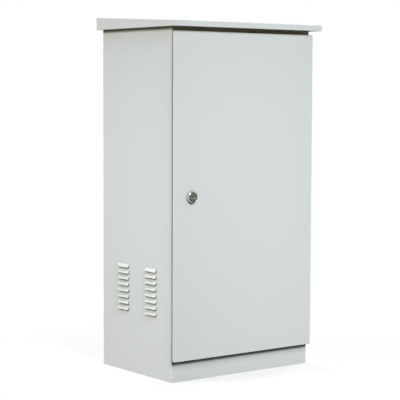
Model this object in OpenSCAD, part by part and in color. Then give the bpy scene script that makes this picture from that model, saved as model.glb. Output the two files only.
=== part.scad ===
// Roadside utility cabinet: a folded sheet steel body that stands on the ground, with one
// overlapping door on concealed hinges, a cam lock, pressed louvers low in both sides and a
// sloping roof on brackets, which shades the air slots in the top plate.
// Millimetres. The origin is the middle of the body's footprint on the ground, the front faces -Y.

/* [Body] */
// Width of the body over its side panels
body_w = 500; // [420:1:700]
// Depth of the body from the front frame to the back
body_d = 350; // [300:1:500]
// Height of the side and back panels
body_h = 1000; // [850:1:1300]
// Thickness of the folded body sheets
sheet = 1.5; // [1:0.1:2.2]
// Outside radius of every bend in the sheets
bend_r = 2.5; // [2.3:0.1:3.5]
// Width of the frame round the door opening
frame_w = 30; // [28:1:40]
// Width of the back flanges of the side panels
back_flange = 25; // [15:1:35]
// Depth of the turned edges of the floor plate
floor_edge = 20; // [12:1:30]
// Top face of the top plate, below the top of the side panels
top_drop = 0; // [0:0.5:6]

/* [Door] */
// Height of the front sill that shows below the door
plinth_h = 60; // [40:1:120]
// Slot between the top of the door and the roof
roof_slot = 12; // [8:0.5:18]
// Gap between the back of the door and the front frame
door_gap = 10; // [9.4:0.1:11]
// Overhang of the door past the side panels
door_side = 5; // [4:0.1:6]
// Thickness of the door sheet
door_sheet = 1.2; // [1:0.1:1.5]
// Width of the hem round the back of the door
hem_w = 8; // [7:0.1:8.5]
// Radius of the door's corners
door_corner = 6; // [3:0.5:7]
// Length of the sealing lip in front of the frame
lip = 5; // [4:0.5:6]
// Width of the foam seal
seal_w = 10; // [6:0.5:14]
// Room between the seal and the lip when the door is shut
seal_gap = 0.3; // [0.1:0.1:1]
// Width of the stiffening rails inside the door
rail_w = 26; // [18:1:40]
// Depth of the stiffening rails
rail_d = 9.5; // [7:0.5:9.5]
// Distance from the door's edge to the middle of a stiffening rail
rail_in = 110; // [110:1:135]
// Distance between the holes in the stiffening rails
rail_pitch = 50; // [30:1:80]

/* [Roof] */
// Overhang of the roof past the side panels
roof_side = 20; // [16:1:40]
// Overhang of the roof past the front frame
roof_front = 36; // [30:1:70]
// Overhang of the roof past the back
roof_rear = 3; // [2.5:0.5:30]
// Height of the roof's front edge
fascia_front = 16; // [12:0.5:30]
// Height of the roof's rear edge
fascia_rear = 36; // [31:0.5:60]
// How far the roof hangs below the top of the side panels
roof_lap = 4; // [2:0.5:8]
// Width of the turned-in lower edge of the roof
roof_hem = 9; // [5:0.5:12]
// Distance from the side of the body to the web of a roof rail
roof_rail_in = 100; // [80:1:120]

/* [Louvers] */
// Louvers in each column
louver_rows = 8; // [4:1:14]
// Distance between the louvers in a column
louver_pitch = 17.8; // [15:0.1:24]
// Length of a louver
louver_len = 54; // [40:1:90]
// Height of a louver
louver_h = 9.5; // [8:0.1:11]
// How far a louver stands out of the side
louver_out = 5; // [4:0.1:6]
// Distance between the middles of the two columns
louver_columns = 138; // [110:1:160]
// Middle of the louvers behind the front frame
louver_mid = 171; // [150:1:190]
// Mouth of the lowest louver above the ground
louver_low = 180; // [140:1:260]

/* [Hinges] */
// Length of a hinge
hinge_len = 60; // [40:1:90]
// Distance of the outer hinges from the ends of the door
hinge_inset = 110; // [70:1:180]
// Distance from the door's edge to the hinge axis
hinge_edge = 5; // [4.8:0.1:6]
// Radius of a hinge pin
pin_r = 2.5; // [2:0.1:2.8]
// Radius of the hinge knuckles
knuckle_r = 4.2; // [3.9:0.1:4.3]

/* [Lock] */
// Distance from the door's left edge to the lock
lock_in = 63; // [60:1:66]
// Height of the lock above the ground
lock_z = 522; // [420:1:620]
// Radius of the lock's collar
collar_r = 15.5; // [14:0.1:18]
// Radius of the lock's front face
face_r = 12.8; // [11.5:0.1:13.5]
// How far the lock stands out of the door
lock_out = 8; // [5:0.5:12]
// Radius of the lock's threaded barrel
barrel_r = 10; // [9.5:0.1:11]
// Radius of the turning plug
plug_r = 7.5; // [6:0.1:8]
// Reach of the cam from the lock's axis
cam_reach = 42; // [38:1:46]

/* [Inside] */
// Width of the equipment mounting plate
mount_w = 400; // [300:1:410]
// Height of the equipment mounting plate
mount_h = 820; // [600:1:860]
// Thickness of the equipment mounting plate
mount_t = 2; // [1.5:0.1:3]
// Distance from the back panel to the mounting plate
mount_gap = 25; // [18:1:40]
// Width of the cable entry opening in the floor
entry_w = 300; // [200:1:340]
// Depth of the cable entry opening in the floor
entry_d = 150; // [100:1:180]
// Margin of the gland plate round the opening
entry_rim = 20; // [16:1:26]
// Distance between the anchor holes across the cabinet
anchor_x = 420; // [390:1:430]
// Distance between the anchor holes front to back
anchor_y = 270; // [250:1:280]
// Radius of the anchor holes
anchor_r = 6; // [4:0.5:8]

/* [Hidden] */
$fn = 48;

paint = "Gainsboro";
zinc = "Silver";
chrome = "LightSteelBlue";
rubber = "DimGray";

// Planes of the body
front_y = -body_d / 2;
back_y = body_d / 2;
side_x = body_w / 2;
inner_x = side_x - sheet;
open_x = side_x - frame_w;
inner_front = front_y + sheet;
back_out = back_y - sheet;
back_in = back_out - sheet;
inner_bend = bend_r - sheet;
weld_room = 0.05;
back_x = inner_x - inner_bend - weld_room;
corner_y = inner_front + inner_bend + weld_room;

// Heights of the roof, the door and the frame round the opening
roof_low = body_h - roof_lap;
door_top = roof_low - roof_slot;
door_h = door_top - plinth_h;
top_z = body_h - top_drop;
sill_top = plinth_h + frame_w;
head_low = door_top - frame_w;
head_edge = top_z - head_low - bend_r;

// Planes of the door
door_x = side_x + door_side;
door_w = 2 * door_x;
door_t = 2 * door_sheet;
door_front = front_y - door_gap - door_t;
door_in = door_front + door_sheet;
lip_front = front_y - lip;
lip_in = frame_w - sheet / 2;
rail_x = door_x - rail_in;
rail_margin = 25;
rail_hole_r = 4.5;

// Roof
roof_y0 = front_y - roof_front;
roof_y1 = back_y + roof_rear;
roof_d = roof_y1 - roof_y0;
roof_w = body_w + 2 * roof_side;
roof_slope = atan((fascia_rear - fascia_front) / roof_d);
function roof_top(y, depth) = roof_low + fascia_front + (y - roof_y0) * tan(roof_slope)
    - depth / cos(roof_slope);

// Brackets that carry the roof
bracket_x = side_x - roof_rail_in;
bracket_w = 24;
bracket_front_in = 60;
bracket_back_in = 50;
bracket_y0 = front_y + bracket_front_in;
bracket_y1 = back_in - bracket_back_in;
bracket_bolt_in = 30;
bracket_top = sheet + weld_room;

// Air slots in the top plate
air_rows = 7;
air_pitch = 30;
air_len = 90;
air_w = 8;
air_columns = 120;

// Louver ramp: its lean from the sheet, and its round corners
louver_ramp = atan(louver_out / louver_h);
louver_rim = 0.5;
louver_corner = louver_out - louver_rim;
louver_y = front_y + louver_mid;

// Hinges
hinge_x = door_x - hinge_edge;
hinge_in = side_x - hinge_x;
hinge_out = door_gap / 2;
hinge_y = front_y - hinge_out;
hinge_low = plinth_h + hinge_inset;
hinge_high = door_top - hinge_inset;
hinge_mid = (hinge_low + hinge_high) / 2;
leaf_t = 2;
leaf_room = 0.4;
knuckle_gap = 0.2;
end_knuckle = 0.3 * hinge_len;
pin_fit = 0.05;
press_fit = 0.01;
pin_head_r = pin_r + 1;
pin_head = 1.2;
screw_r = 1.75;
screw_room = 0.2;
screw_head_r = 3.1;
screw_head = 1.8;
screw_len = 7;
screw_end = 9;
leaf_edge = frame_w - sheet - inner_bend - hinge_in - leaf_room;
leaf_root = knuckle_r + leaf_room;
leaf_screw = (leaf_edge + leaf_root) / 2;

// Lock
lock_x = lock_in - door_x;
collar_t = 2;
collar_step = 1.2;
groove_t = 0.8;
recess = 1.6;
rim = 0.8;
plug_head = 1.2;
plug_head_room = 0.3;
plug_fit = 0.05;
barrel_room = 0.3;
key_w = 2;
key_h = 9;
key_d = 6;
lock_nut_r = 15;
lock_nut_t = 5;
cam_room = 1;
cam_t = 3;
cam_w = 18;
cam_tip_r = 4;
cam_front = inner_front + cam_room;
cam_back = cam_front + cam_t;
tail_w = 8;
cam_screw_r = 2.5;
cam_screw_head_r = 6;
cam_screw_head = 2.5;

// Fasteners
stud_r = 4;
nut_r = 7.5;
nut_t = 6.5;
thread_room = 0.05;
hole_room = 0.5;
bolt_head = 5.3;
bolt_end = 3;
small_stud_r = 3;
small_nut_r = 5.8;
small_nut_t = 5;
thin_nut_t = 3.2;

// Cable entry
seal_t = 3;
gland_t = 2;
gland_z = sheet + seal_t;

// Mounting plate and earth points
mount_y1 = back_in - mount_gap;
mount_y0 = mount_y1 - mount_t;
mount_mid = (sill_top + head_low) / 2;
mount_hole_in = 22;
mount_fold = 12;
earth_z = 130;
earth_in = 70;
earth_y = front_y + earth_in;
earth_len = 24;
lug_room = 3;
door_lug_room = 1.5;
door_stud_end = 1.5;
door_earth_in = 45;
door_earth_x = rail_x - door_earth_in;
door_earth_z = sill_top + door_earth_in;

// A box between two corners
module block(low, high) {
    translate(low) cube(high - low);
}

// What a round corner of radius r takes off the corner at the origin
module corner_cut(r) {
    difference() {
        translate([-1, -1]) square(r + 1);
        translate([r, r]) circle(r);
    }
}

// Section of a bent sheet: w along the face, d deep, with both corners of the face rounded
module bent_outline(w, d, r) {
    difference() {
        square([w, d]);
        corner_cut(r);
        translate([w, 0]) mirror([1, 0]) corner_cut(r);
    }
}

// A block with its face at y = 0 and all four edges of that face rounded
module pan_solid(w, h, d, r) {
    intersection() {
        linear_extrude(h) bent_outline(w, d, r);
        translate([w, 0, 0]) rotate([0, -90, 0]) linear_extrude(w) bent_outline(h, d, r);
    }
}

// A sheet with all four edges turned back, open at the back
module folded_pan(w, h, d, t, r) {
    difference() {
        pan_solid(w, h, d, r);
        translate([t, t, t]) pan_solid(w - 2 * t, h - 2 * t, d, r - t);
    }
}

// Section of a turned edge: a bend off the frame and a lip to the front that ends at u = 0
module lip_section() {
    translate([-sheet, -lip]) square([sheet, lip - inner_bend]);
    translate([-bend_r, -inner_bend]) intersection() {
        difference() {
            circle(bend_r);
            circle(inner_bend);
        }
        square(bend_r);
    }
}

// The turned edge across the opening: it ends at height z, with its sheet below or above
module cross_lip(z, above) {
    translate([open_x, front_y, z]) mirror([0, 0, above ? 1 : 0]) rotate([0, -90, 0])
        linear_extrude(2 * open_x) lip_section();
}

// Hexagon nut on the Z axis
module hex_nut(r, t, bore_r) {
    difference() {
        cylinder(r = r, h = t, $fn = 6);
        translate([0, 0, -1]) cylinder(r = bore_r, h = t + 2);
    }
}

// A pressed louver's hood on the plane x = 0, inset by a depth: a ramp that leaves the sheet at the top
// and stands out at its open mouth at z = 0, with round corners in plan, and reaching back to x = back
module louver_hood(inset, back) {
    w = louver_len - 2 * inset;
    mouth_x = inset / cos(louver_ramp) - louver_out;
    intersection() {
        translate([0, w / 2, 0]) rotate([90, 0, 0]) linear_extrude(w)
            polygon([[mouth_x, 0], [back, 0], [back, (back - mouth_x) / tan(louver_ramp)]]);
        linear_extrude(2 * louver_h) translate([inset - louver_out, w / 2]) rotate(-90)
            bent_outline(w, louver_out - inset + back, louver_corner - inset);
    }
}

// Puts its children at every louver of the left side
module at_louvers() {
    for (column = [-1, 1], row = [0 : louver_rows - 1])
        translate([-side_x, louver_y + column * louver_columns / 2, louver_low + row * louver_pitch])
            children();
}

// Side wall with its front frame, sealing lip, back flange and louvers, seen as the left one
module side_panel() {
    difference() {
        union() {
            linear_extrude(body_h) translate([-side_x, front_y]) difference() {
                mirror([1, -1]) bent_outline(body_d, frame_w, bend_r);
                translate([sheet, sheet]) mirror([1, -1])
                    bent_outline(body_d - 2 * sheet, frame_w, inner_bend);
                translate([back_flange, body_d / 2]) square([frame_w, body_d]);
            }
            at_louvers() louver_hood(0, 0);
        }
        at_louvers() louver_hood(sheet, sheet + 1);
        block([-open_x - bend_r, front_y - 1, sill_top - sheet],
              [-open_x + 1, inner_front + 1, head_low + sheet]);
    }
    translate([-open_x, front_y, sill_top - sheet])
        linear_extrude(head_low - sill_top + 2 * sheet) lip_section();
}

// Puts its children on the hinge axes
module at_hinges() {
    for (z = [hinge_low, hinge_mid, hinge_high]) translate([hinge_x, hinge_y, z]) children();
}

// Puts its children on the axes of the hinge screws, pointing at the front
module at_hinge_screws() {
    at_hinges() for (end = [-1, 1])
        translate([-leaf_screw, hinge_out, end * (hinge_len / 2 - screw_end)]) rotate([90, 0, 0])
            children();
}

module left_side_panel() {
    color(paint) side_panel();
}

module right_side_panel() {
    color(paint) difference() {
        mirror([1, 0, 0]) side_panel();
        at_hinge_screws() translate([0, 0, -sheet - 1]) cylinder(r = screw_r + screw_room, h = sheet + 2);
    }
}

// Back sheet, welded inside the back flanges of the sides
module back_panel() {
    color(paint) block([-back_x, back_in, 0], [back_x, back_out, body_h]);
}

// Puts its children on the axes of the roof bolts, at the top plate
module at_roof_bolts() {
    for (side = [-1, 1], y = [bracket_y0 + bracket_bolt_in, bracket_y1 - bracket_bolt_in])
        translate([side * (bracket_x + (bracket_w + sheet) / 2), y, top_z]) children();
}

// Plate below the roof, with turned edges, the header over the door opening and air slots
module top_plate() {
    color(paint) {
        difference() {
            translate([-inner_x, front_y, top_z]) rotate([-90, 0, 0])
                folded_pan(2 * inner_x, back_in - front_y, head_edge, sheet, bend_r);
            for (side = [-1, 1]) mirror([side < 0 ? 1 : 0, 0, 0])
                block([open_x, front_y - 1, head_low], [side_x, corner_y, top_z + 1]);
            for (column = [-1, 1], row = [0 : air_rows - 1])
                translate([column * air_columns / 2, (row - (air_rows - 1) / 2) * air_pitch, top_z])
                    cube([air_len, air_w, 4 * sheet], center = true);
            at_roof_bolts() translate([0, 0, -sheet - 1])
                cylinder(r = stud_r + hole_room, h = sheet + 2);
        }
        cross_lip(head_low, true);
    }
}

// Floor sheet that stands on the ground, with the cable entry and the anchor holes
module floor_plate() {
    color(paint) difference() {
        translate([-inner_x, back_in, 0]) rotate([90, 0, 0])
            folded_pan(2 * inner_x, back_in - inner_front, floor_edge, sheet, bend_r);
        for (side = [-1, 1]) mirror([side < 0 ? 1 : 0, 0, 0])
            block([back_x, front_y, -1], [side_x, corner_y, floor_edge + 1]);
        block([-entry_w / 2, -entry_d / 2, -1], [entry_w / 2, entry_d / 2, sheet + 1]);
        for (side = [-1, 1], end = [-1, 1]) translate([side * anchor_x / 2, end * anchor_y / 2, -1])
            cylinder(r = anchor_r, h = sheet + 2);
    }
}

// Front sheet below the door, with the lower sealing lip
module front_sill() {
    color(paint) {
        block([-open_x, front_y, 0], [open_x, inner_front, sill_top - bend_r]);
        cross_lip(sill_top, false);
    }
}

// Puts its children at the studs round the cable entry
module at_gland_studs() {
    for (column = [-1, 0, 1], row = [-1, 1])
        translate([column * (entry_w + entry_rim) / 2, row * (entry_d + entry_rim) / 2, 0]) children();
}

module gland_seal() {
    color(rubber) difference() {
        block([-entry_w / 2 - entry_rim, -entry_d / 2 - entry_rim, sheet],
              [entry_w / 2 + entry_rim, entry_d / 2 + entry_rim, gland_z]);
        block([-entry_w / 2, -entry_d / 2, 0], [entry_w / 2, entry_d / 2, gland_z + 1]);
        at_gland_studs() cylinder(r = small_stud_r + hole_room, h = gland_z + 1);
    }
}

module gland_plate() {
    color(zinc) difference() {
        block([-entry_w / 2 - entry_rim, -entry_d / 2 - entry_rim, gland_z],
              [entry_w / 2 + entry_rim, entry_d / 2 + entry_rim, gland_z + gland_t]);
        at_gland_studs() cylinder(r = small_stud_r + hole_room, h = gland_z + gland_t + 1);
    }
}

module gland_studs() {
    color(zinc) at_gland_studs() translate([0, 0, sheet])
        cylinder(r = small_stud_r, h = seal_t + gland_t + small_nut_t + bolt_end);
}

module gland_nuts() {
    color(zinc) at_gland_studs() translate([0, 0, gland_z + gland_t])
        hex_nut(small_nut_r, small_nut_t, small_stud_r + thread_room);
}

// What a round corner takes off a corner: its arc has its middle at mid and ends at ends
module round_off(corner, mid, ends, r) {
    difference() {
        polygon([ends[0], 2 * corner - mid, ends[1], mid]);
        translate(mid) circle(r);
    }
}

// Section of the roof, inset by a depth: rounded front and rear top edges, foot at height low
module roof_section(inset, low) {
    r = bend_r - inset;
    y0 = roof_y0 + inset;
    y1 = roof_y1 - inset;
    front = [y0, roof_top(y0, inset)];
    rear = [y1, roof_top(y1, inset)];
    front_mid = [y0 + r, roof_top(y0 + r, bend_r)];
    rear_mid = [y1 - r, roof_top(y1 - r, bend_r)];
    lean = [-r * sin(roof_slope), r * cos(roof_slope)];
    difference() {
        polygon([[y0, low], front, rear, [y1, low]]);
        round_off(front, front_mid, [front_mid - [r, 0], front_mid + lean], r);
        round_off(rear, rear_mid, [rear_mid + lean, rear_mid + [r, 0]], r);
    }
}

// The roof's outer form, inset by a depth, with its side edges rounded too
module roof_form(inset, low) {
    w = roof_w - 2 * inset;
    intersection() {
        translate([-w / 2, 0, 0]) rotate([90, 0, 90]) linear_extrude(w) roof_section(inset, low);
        translate([0, roof_y0, roof_top(roof_y0, 0)]) rotate([roof_slope, 0, 0])
            translate([0, 2 * roof_d, 0]) rotate([90, 0, 0]) linear_extrude(3 * roof_d)
                translate([-w / 2, -inset]) mirror([0, 1])
                    bent_outline(w, 2 * fascia_rear, bend_r - inset);
    }
}

// Sloping folded roof with turned-in lower edges at the front and sides
module roof() {
    color(paint) difference() {
        roof_form(0, roof_low);
        roof_form(sheet, roof_low + sheet);
        block([-roof_w / 2 + roof_hem, roof_y0 + roof_hem, roof_low - 1],
              [roof_w / 2 - roof_hem, roof_y1 - sheet, roof_low + 2 * sheet]);
    }
}

// Sheet z-bracket between the top plate and the roof, foot to the outside, seen as the right one
module roof_rail() {
    color(paint) difference() {
        translate([bracket_x, 0, 0]) rotate([90, 0, 90]) {
            linear_extrude(sheet) polygon([
                [bracket_y0, top_z], [bracket_y1, top_z],
                [bracket_y1, roof_top(bracket_y1, bracket_top)],
                [bracket_y0, roof_top(bracket_y0, bracket_top)]]);
            translate([0, 0, -bracket_w]) linear_extrude(bracket_w + sheet / 2) polygon([
                [bracket_y0, roof_top(bracket_y0, bracket_top)],
                [bracket_y1, roof_top(bracket_y1, bracket_top)],
                [bracket_y1, roof_top(bracket_y1, bracket_top + sheet)],
                [bracket_y0, roof_top(bracket_y0, bracket_top + sheet)]]);
            linear_extrude(bracket_w + sheet) translate([bracket_y0, top_z])
                square([bracket_y1 - bracket_y0, sheet]);
        }
        at_roof_bolts() translate([0, 0, -1]) cylinder(r = stud_r + hole_room, h = sheet + 2);
    }
}

module left_roof_rail() {
    mirror([1, 0, 0]) roof_rail();
}

module right_roof_rail() {
    roof_rail();
}

module roof_bolts() {
    color(zinc) at_roof_bolts() {
        translate([0, 0, -sheet - bolt_head]) cylinder(r = nut_r, h = bolt_head, $fn = 6);
        translate([0, 0, -sheet - 1]) cylinder(r = stud_r, h = 2 * sheet + nut_t + bolt_end + 1);
    }
}

module roof_nuts() {
    color(zinc) at_roof_bolts() translate([0, 0, sheet]) hex_nut(nut_r, nut_t, stud_r + thread_room);
}

// Puts its children on the axes of the mounting studs, pointing at the front
module at_mounting_studs() {
    stud_x = mount_w / 2 - mount_hole_in;
    stud_z = mount_h / 2 - mount_hole_in;
    for (side = [-1, 1], end = [-1, 1]) translate([side * stud_x, 0, mount_mid + end * stud_z])
        rotate([90, 0, 0]) children();
}

// Equipment plate with its edges turned to the back
module mounting_plate() {
    color(zinc) difference() {
        translate([-mount_w / 2, mount_y0, mount_mid - mount_h / 2])
            folded_pan(mount_w, mount_h, mount_fold, mount_t, mount_t + inner_bend);
        at_mounting_studs() translate([0, 0, -mount_y1 - 1])
            cylinder(r = stud_r + hole_room, h = mount_t + 2);
    }
}

module mounting_studs() {
    color(zinc) at_mounting_studs() translate([0, 0, -back_in])
        cylinder(r = stud_r, h = mount_gap + mount_t + nut_t + bolt_end);
}

module mounting_nuts() {
    color(zinc) at_mounting_studs() for (seat = [-mount_y0, -mount_y1 - nut_t])
        translate([0, 0, seat]) hex_nut(nut_r, nut_t, stud_r + thread_room);
}

// The hinge leaf on the frame: a plate and two knuckles in the gap behind the door
module frame_leaf(z) {
    color(zinc) translate([hinge_x, hinge_y, z]) difference() {
        union() {
            block([-leaf_edge, hinge_out - leaf_t, -hinge_len / 2], [-leaf_root, hinge_out, hinge_len / 2]);
            for (low = [-hinge_len / 2, hinge_len / 2 - end_knuckle]) translate([0, 0, low]) {
                block([-leaf_root - leaf_t, hinge_out - leaf_t, 0], [0, hinge_out, end_knuckle]);
                cylinder(r = knuckle_r, h = end_knuckle);
            }
        }
        translate([0, 0, -hinge_len]) cylinder(r = pin_r + press_fit, h = 2 * hinge_len);
        for (end = [-1, 1])
            translate([-leaf_screw, hinge_out + 1, end * (hinge_len / 2 - screw_end)]) rotate([90, 0, 0])
                cylinder(r = screw_r + screw_room, h = leaf_t + 2);
    }
}

// The hinge leaf on the door: a plate beside the hem, a web over the hem and the middle knuckle
module door_leaf(z) {
    half = hinge_len / 2 - end_knuckle - knuckle_gap;
    plate_y = door_in - hinge_y;
    plate_x = lip_in - hinge_in - seal_w / 2 - leaf_room;
    hem_x = hem_w - hinge_edge + leaf_room;
    color(zinc) translate([hinge_x, hinge_y, z]) difference() {
        union() {
            block([-plate_x, plate_y, -hinge_len / 2], [-hem_x, plate_y + leaf_t, hinge_len / 2]);
            block([-hem_x - leaf_t, plate_y, -half], [-hem_x, 0, half]);
            block([-hem_x - leaf_t, leaf_room - hinge_out, -half], [0, 0, half]);
            translate([0, 0, -half]) cylinder(r = knuckle_r, h = 2 * half);
        }
        translate([0, 0, -hinge_len]) cylinder(r = pin_r + pin_fit, h = 2 * hinge_len);
    }
}

// A pin with a flat head on the top knuckle
module hinge_pin(z) {
    color(zinc) translate([hinge_x, hinge_y, z]) {
        translate([0, 0, -hinge_len / 2]) cylinder(r = pin_r, h = hinge_len + pin_head);
        translate([0, 0, hinge_len / 2]) cylinder(r = pin_head_r, h = pin_head);
    }
}

module upper_frame_leaf() {
    frame_leaf(hinge_high);
}

module middle_frame_leaf() {
    frame_leaf(hinge_mid);
}

module lower_frame_leaf() {
    frame_leaf(hinge_low);
}

module upper_door_leaf() {
    door_leaf(hinge_high);
}

module middle_door_leaf() {
    door_leaf(hinge_mid);
}

module lower_door_leaf() {
    door_leaf(hinge_low);
}

module upper_hinge_pin() {
    hinge_pin(hinge_high);
}

module middle_hinge_pin() {
    hinge_pin(hinge_mid);
}

module lower_hinge_pin() {
    hinge_pin(hinge_low);
}

module hinge_screws() {
    color(zinc) at_hinge_screws() {
        translate([0, 0, leaf_t]) cylinder(r = screw_head_r, h = screw_head);
        translate([0, 0, leaf_t - screw_len]) cylinder(r = screw_r, h = screw_len);
    }
}

module body_earth_stud() {
    color(zinc) translate([-inner_x, earth_y, earth_z]) rotate([0, 90, 0])
        cylinder(r = stud_r, h = earth_len);
}

module body_earth_nuts() {
    color(zinc) translate([-inner_x, earth_y, earth_z]) rotate([0, 90, 0])
        for (seat = [0, nut_t + lug_room]) translate([0, 0, seat])
            hex_nut(nut_r, nut_t, stud_r + thread_room);
}

// Door sheet with a flat hem all round its back and round corners
module door_panel() {
    color(paint) difference() {
        translate([-door_x, door_front, plinth_h]) difference() {
            intersection() {
                pan_solid(door_w, door_h, door_t, door_sheet);
                translate([0, door_t, 0]) rotate([90, 0, 0]) linear_extrude(door_t) difference() {
                    square([door_w, door_h]);
                    for (right = [0, 1], top = [0, 1])
                        translate([right * door_w, top * door_h]) mirror([right, 0]) mirror([0, top])
                            corner_cut(door_corner);
                }
            }
            translate([hem_w, door_sheet, hem_w])
                cube([door_w - 2 * hem_w, door_t, door_h - 2 * hem_w]);
        }
        translate([lock_x, door_in + 1, lock_z]) rotate([90, 0, 0])
            cylinder(r = barrel_r + barrel_room, h = door_sheet + 2);
    }
}

// A frame of the seal's thickness, with its outline a distance inside the door's outline
module seal_outline(inside) {
    translate([inside - side_x, plinth_h + inside]) square([body_w - 2 * inside, door_h - 2 * inside]);
}

// Foam seal on the door that meets the sealing lip
module door_seal() {
    color(rubber) translate([0, lip_front - seal_gap, 0]) rotate([90, 0, 0])
        linear_extrude(lip_front - seal_gap - door_in) difference() {
            seal_outline(lip_in - seal_w / 2);
            seal_outline(lip_in + seal_w / 2);
        }
}

// Channel welded inside the door, open to the door sheet, with a row of holes
module door_rail(x) {
    low = sill_top + rail_margin;
    high = head_low - rail_margin;
    holes = floor((high - low - rail_pitch) / rail_pitch);
    mid = (low + high) / 2;
    color(zinc) difference() {
        translate([x + rail_w / 2, door_in + rail_d, low]) rotate([0, 0, 180]) linear_extrude(high - low)
            difference() {
                bent_outline(rail_w, rail_d, bend_r);
                translate([sheet, sheet]) bent_outline(rail_w - 2 * sheet, rail_d, inner_bend);
            }
        for (i = [0 : holes]) translate([x, door_in + rail_d + 1, mid + (i - holes / 2) * rail_pitch])
            rotate([90, 0, 0]) cylinder(r = rail_hole_r, h = sheet + 2);
    }
}

module left_door_rail() {
    door_rail(-rail_x);
}

module right_door_rail() {
    door_rail(rail_x);
}

module door_earth_stud() {
    color(zinc) translate([door_earth_x, door_in, door_earth_z]) rotate([-90, 0, 0])
        cylinder(r = small_stud_r, h = 2 * thin_nut_t + door_lug_room + door_stud_end);
}

module door_earth_nuts() {
    color(zinc) translate([door_earth_x, door_in, door_earth_z]) rotate([-90, 0, 0])
        for (seat = [0, thin_nut_t + door_lug_room]) translate([0, 0, seat])
            hex_nut(small_nut_r, thin_nut_t, small_stud_r + thread_room);
}

// Puts its children on the lock's axis, with Z out of the door's face
module at_lock() {
    translate([lock_x, door_front, lock_z]) rotate([90, 0, 0]) children();
}

// Turned lock body: barrel through the door, stepped collar, tapered head and a recess for the plug
module lock_housing() {
    bore = plug_r + plug_fit;
    step_r = collar_r - collar_step;
    back = door_front - cam_front + cam_room;
    color(chrome) at_lock() rotate_extrude() polygon([
        [bore, back], [barrel_r, back], [barrel_r, 0], [collar_r, 0], [collar_r, collar_t],
        [step_r, collar_t], [step_r, collar_t + groove_t], [collar_r, collar_t + 2 * groove_t],
        [face_r, lock_out], [face_r - rim, lock_out], [face_r - rim, lock_out - recess],
        [bore, lock_out - recess]]);
}

module lock_nut() {
    color(zinc) at_lock() translate([0, 0, -door_sheet - lock_nut_t])
        hex_nut(lock_nut_r, lock_nut_t, barrel_r + thread_room);
}

// Turning plug: a head in the recess, a keyway, the round shank and a square tail for the cam
module lock_plug() {
    back = door_front - cam_front + cam_room;
    head_low_z = lock_out - recess;
    color(chrome) at_lock() difference() {
        union() {
            translate([0, 0, head_low_z]) cylinder(r = face_r - rim - plug_head_room, h = plug_head);
            translate([0, 0, back]) cylinder(r = plug_r, h = head_low_z - back + plug_head);
            translate([-tail_w / 2, -tail_w / 2, door_front - cam_back])
                cube([tail_w, tail_w, cam_t + cam_room + 1]);
        }
        translate([-key_w / 2, -key_h / 2, head_low_z + plug_head - key_d]) cube([key_w, key_h, key_d + 1]);
        translate([0, 0, door_front - cam_back - 1]) cylinder(r = cam_screw_r + thread_room, h = cam_t + 3);
    }
}

// Flat cam on the plug's tail, pointing up while the lock is open
module lock_cam() {
    color(zinc) at_lock() translate([0, 0, door_front - cam_back]) linear_extrude(cam_t) difference() {
        union() {
            circle(cam_w / 2);
            translate([-cam_w / 2, 0]) difference() {
                square([cam_w, cam_reach]);
                translate([0, cam_reach]) mirror([0, 1]) corner_cut(cam_tip_r);
                translate([cam_w, cam_reach]) rotate(180) corner_cut(cam_tip_r);
            }
        }
        square(tail_w + 2 * thread_room, center = true);
    }
}

module cam_screw() {
    color(zinc) at_lock() translate([0, 0, door_front - cam_back]) {
        translate([0, 0, -cam_screw_head]) cylinder(r = cam_screw_head_r, h = cam_screw_head);
        cylinder(r = cam_screw_r, h = cam_t + 1);
    }
}

left_side_panel();
right_side_panel();
back_panel();
top_plate();
floor_plate();
front_sill();
gland_seal();
gland_plate();
gland_studs();
gland_nuts();
roof();
left_roof_rail();
right_roof_rail();
roof_bolts();
roof_nuts();
mounting_plate();
mounting_studs();
mounting_nuts();
upper_frame_leaf();
middle_frame_leaf();
lower_frame_leaf();
hinge_screws();
upper_hinge_pin();
middle_hinge_pin();
lower_hinge_pin();
body_earth_stud();
body_earth_nuts();
door_panel();
door_seal();
left_door_rail();
right_door_rail();
upper_door_leaf();
middle_door_leaf();
lower_door_leaf();
door_earth_stud();
door_earth_nuts();
lock_housing();
lock_nut();
lock_plug();
lock_cam();
cam_screw();
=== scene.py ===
"""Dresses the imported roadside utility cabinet: powder coat on the folded sheets, plated and galvanised
metal, the turned lock, the foam seal, threaded studs, nuts and screws, and a plain white studio."""

import math

import bmesh
import bpy
from bpy.props import FloatProperty, FloatVectorProperty, IntProperty, PointerProperty
from mathutils import Matrix, Vector


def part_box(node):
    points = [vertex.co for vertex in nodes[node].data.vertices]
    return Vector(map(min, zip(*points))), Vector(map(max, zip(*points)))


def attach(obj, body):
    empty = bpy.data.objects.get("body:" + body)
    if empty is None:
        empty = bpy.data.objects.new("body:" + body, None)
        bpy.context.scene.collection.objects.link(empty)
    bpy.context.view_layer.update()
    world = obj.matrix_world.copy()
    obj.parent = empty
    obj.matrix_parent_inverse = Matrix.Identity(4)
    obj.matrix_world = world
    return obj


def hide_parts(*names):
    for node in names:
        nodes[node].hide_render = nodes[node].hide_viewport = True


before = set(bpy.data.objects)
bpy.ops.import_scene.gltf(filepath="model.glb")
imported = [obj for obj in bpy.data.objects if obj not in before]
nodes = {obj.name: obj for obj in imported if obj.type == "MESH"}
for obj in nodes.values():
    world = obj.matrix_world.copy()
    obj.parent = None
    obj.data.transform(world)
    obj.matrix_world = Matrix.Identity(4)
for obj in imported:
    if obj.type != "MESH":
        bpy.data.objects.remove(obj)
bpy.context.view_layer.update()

bl_info = {
    "name": "Roadside utility cabinet",
    "version": (1, 0, 0),
    "blender": (4, 5, 0),
    "location": "3D View > Sidebar > Cabinet",
    "description": "Finishes, fasteners, seal, lock and studio for the packed cabinet",
    "category": "Object",
}

MM = 0.001
SAME_POINT = 0.001 * MM
X, Y, Z = Vector((1, 0, 0)), Vector((0, 1, 0)), Vector((0, 0, 1))

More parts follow.
